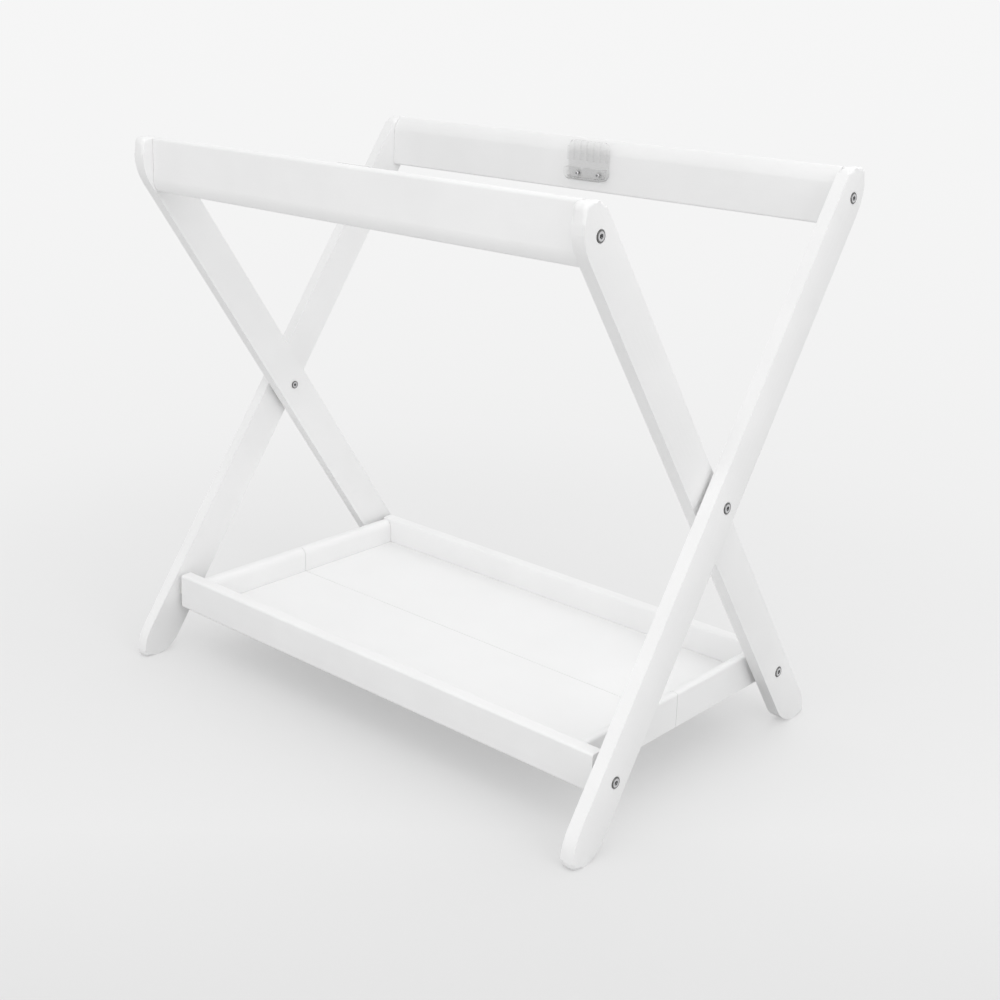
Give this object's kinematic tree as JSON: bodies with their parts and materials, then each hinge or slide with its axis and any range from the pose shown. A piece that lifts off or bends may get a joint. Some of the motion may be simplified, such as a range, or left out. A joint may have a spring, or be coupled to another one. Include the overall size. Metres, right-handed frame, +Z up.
{
  "type": "folding bassinet stand",
  "caption": "White wooden folding bassinet stand with crossed legs, clear receivers on the top rails, and a low tray that folds in the middle.",
  "frame": {"origin": "on the floor, under the middle of the stand", "axes": "X along the rails, Y from the front rail to the back rail, Z up"},
  "size_m": [0.7348, 0.4883, 0.6806],
  "materials": {
    "painted_wood": "satin",
    "white_board": "gloss",
    "clear_plastic": "gloss",
    "zinc_steel": "satin",
    "brass": "satin",
    "nylon": "matte",
    "beech": "matte"
  },
  "bodies": {
    "inner_frame": {"back_tray_bolt_left": "zinc_steel", "back_tray_bolt_right": "zinc_steel", "back_tray_washer_left": "nylon", "back_tray_washer_right": "nylon", "front_rail_bolt_left": "zinc_steel", "front_rail_bolt_right": "zinc_steel", "front_rail_dowel_left": "beech", "front_rail_dowel_right": "beech", "front_rail_insert_left": "brass", "front_rail_insert_right": "brass", "front_receiver": "clear_plastic", "front_receiver_screw_left": "zinc_steel", "front_receiver_screw_right": "zinc_steel", "front_top_rail": "painted_wood", "inner_leg_left": "painted_wood", "inner_leg_right": "painted_wood", "pivot_bolt_left": "zinc_steel", "pivot_bolt_right": "zinc_steel", "pivot_nut_left": "zinc_steel", "pivot_nut_right": "zinc_steel", "pivot_washer_left": "nylon", "pivot_washer_right": "nylon"},
    "outer_frame": {"back_rail_bolt_left": "zinc_steel", "back_rail_bolt_right": "zinc_steel", "back_rail_dowel_left": "beech", "back_rail_dowel_right": "beech", "back_rail_insert_left": "brass", "back_rail_insert_right": "brass", "back_receiver": "clear_plastic", "back_receiver_screw_left": "zinc_steel", "back_receiver_screw_right": "zinc_steel", "back_top_rail": "painted_wood", "front_tray_bolt_left": "zinc_steel", "front_tray_bolt_right": "zinc_steel", "outer_leg_left": "painted_wood", "outer_leg_right": "painted_wood"},
    "tray_back": {"back_lower_rail": "painted_wood", "back_tray_insert_left": "brass", "back_tray_insert_right": "brass", "hinge_leaf_back_left": "zinc_steel", "hinge_leaf_back_right": "zinc_steel", "hinge_pin_left": "zinc_steel", "hinge_pin_right": "zinc_steel", "tray_end_back_left": "painted_wood", "tray_end_back_right": "painted_wood", "tray_floor_back": "white_board"},
    "tray_front": {"front_lower_rail": "painted_wood", "front_tray_insert_left": "brass", "front_tray_insert_right": "brass", "front_tray_washer_left": "nylon", "front_tray_washer_right": "nylon", "hinge_leaf_front_left": "zinc_steel", "hinge_leaf_front_right": "zinc_steel", "tray_end_front_left": "painted_wood", "tray_end_front_right": "painted_wood", "tray_floor_front": "white_board"}
  },
  "joints": [
    {"name": "fold", "type": "hinge", "parent": "inner_frame", "child": "outer_frame", "pos_m": [0, 0, 0.333], "axis": [1, 0, 0], "range_deg": [0, 56.1]},
    {"name": "tray_back_pivot", "type": "hinge", "parent": "inner_frame", "child": "tray_back", "pos_m": [0, 0.17623, 0.0772], "axis": [1, 0, 0], "range_deg": [-58, 0]},
    {"name": "tray_hinge", "type": "hinge", "parent": "tray_back", "child": "tray_front", "pos_m": [0, 0, 0.0549], "axis": [1, 0, 0], "range_deg": [0, 172]}
  ],
  "couplings": [
    {"joint": "tray_back_pivot", "follows": "fold", "ratio": -1.029},
    {"joint": "tray_hinge", "follows": "fold", "ratio": 3.058}
  ]
}
